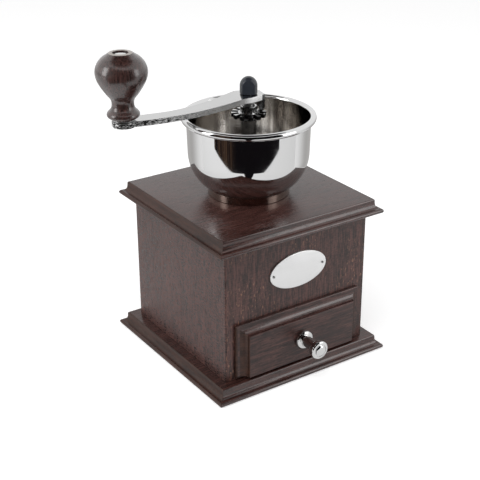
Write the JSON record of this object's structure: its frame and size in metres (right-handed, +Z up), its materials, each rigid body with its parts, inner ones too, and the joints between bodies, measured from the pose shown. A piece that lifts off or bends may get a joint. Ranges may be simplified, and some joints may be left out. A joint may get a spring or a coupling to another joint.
{
  "type": "manual coffee grinder",
  "caption": "Hand cranked box coffee grinder: open steel hopper bowl on a moulded wooden case with a grounds drawer, conical burrs and a bent crank with a turned wooden knob.",
  "frame": {"origin": "middle of the base's underside, under the spindle", "axes": "+Z up along the spindle, -Y towards the drawer front, +X to the right of someone who faces the drawer"},
  "size_m": [0.1641, 0.1496, 0.2132],
  "materials": {
    "stained_wood": "dark walnut stain under a satin lacquer",
    "plain_wood": "planed, unlacquered",
    "chrome": "polished",
    "steel": "turned and plated",
    "plate_metal": "satin, bare of any print",
    "cast_iron": "as cast, teeth machined",
    "black_plastic": "moulded, glossy"
  },
  "bodies": {
    "frame": {"base_board": "stained_wood", "top_board": "stained_wood", "front_panel": "stained_wood", "right_panel": "stained_wood", "back_panel": "stained_wood", "left_panel": "stained_wood", "grounds_shelf": "plain_wood", "drawer_runner_left": "plain_wood", "drawer_runner_right": "plain_wood", "base_screw_1": "steel", "base_screw_2": "steel", "base_screw_3": "steel", "base_screw_4": "steel", "name_plate": "plate_metal", "plate_pin_left": "chrome", "plate_pin_right": "chrome", "bowl_foot_ring": "chrome", "hopper_bowl": "chrome", "bearing_spider": "steel", "column_bush": "steel", "burr_housing": "cast_iron", "outer_burr": "cast_iron", "mill_screw_1": "steel", "mill_screw_2": "steel", "mill_screw_3": "steel"},
    "rotor": {"adjuster_wheel": "steel", "thrust_washer": "steel"},
    "crank": {"spindle": "steel", "inner_burr": "cast_iron", "burr_nut": "steel", "crank_arm": "chrome", "crank_cap_nut": "black_plastic", "knob_washer": "steel", "knob_axle": "chrome"},
    "knob": {"crank_knob": "stained_wood"},
    "drawer": {"drawer_front": "stained_wood", "drawer_left": "plain_wood", "drawer_right": "plain_wood", "drawer_back": "plain_wood", "drawer_bottom": "plain_wood", "drawer_knob": "chrome", "drawer_knob_screw": "steel"}
  },
  "joints": [
    {"name": "crank_spin", "type": "hinge", "parent": "frame", "child": "rotor", "pos_m": [0, 0, 0.1638], "axis": [0, 0, 1], "continuous": true},
    {"name": "grind_adjust", "type": "slide", "parent": "rotor", "child": "crank", "axis": [0, 0, 1], "range_m": [0, 0.0015]},
    {"name": "knob_spin", "type": "hinge", "parent": "crank", "child": "knob", "pos_m": [-0.08119, 0.01726, 0.19], "axis": [0, 0, 1], "continuous": true},
    {"name": "drawer_slide", "type": "slide", "parent": "frame", "child": "drawer", "axis": [0, -1, 0], "range_m": [0, 0.09]}
  ]
}
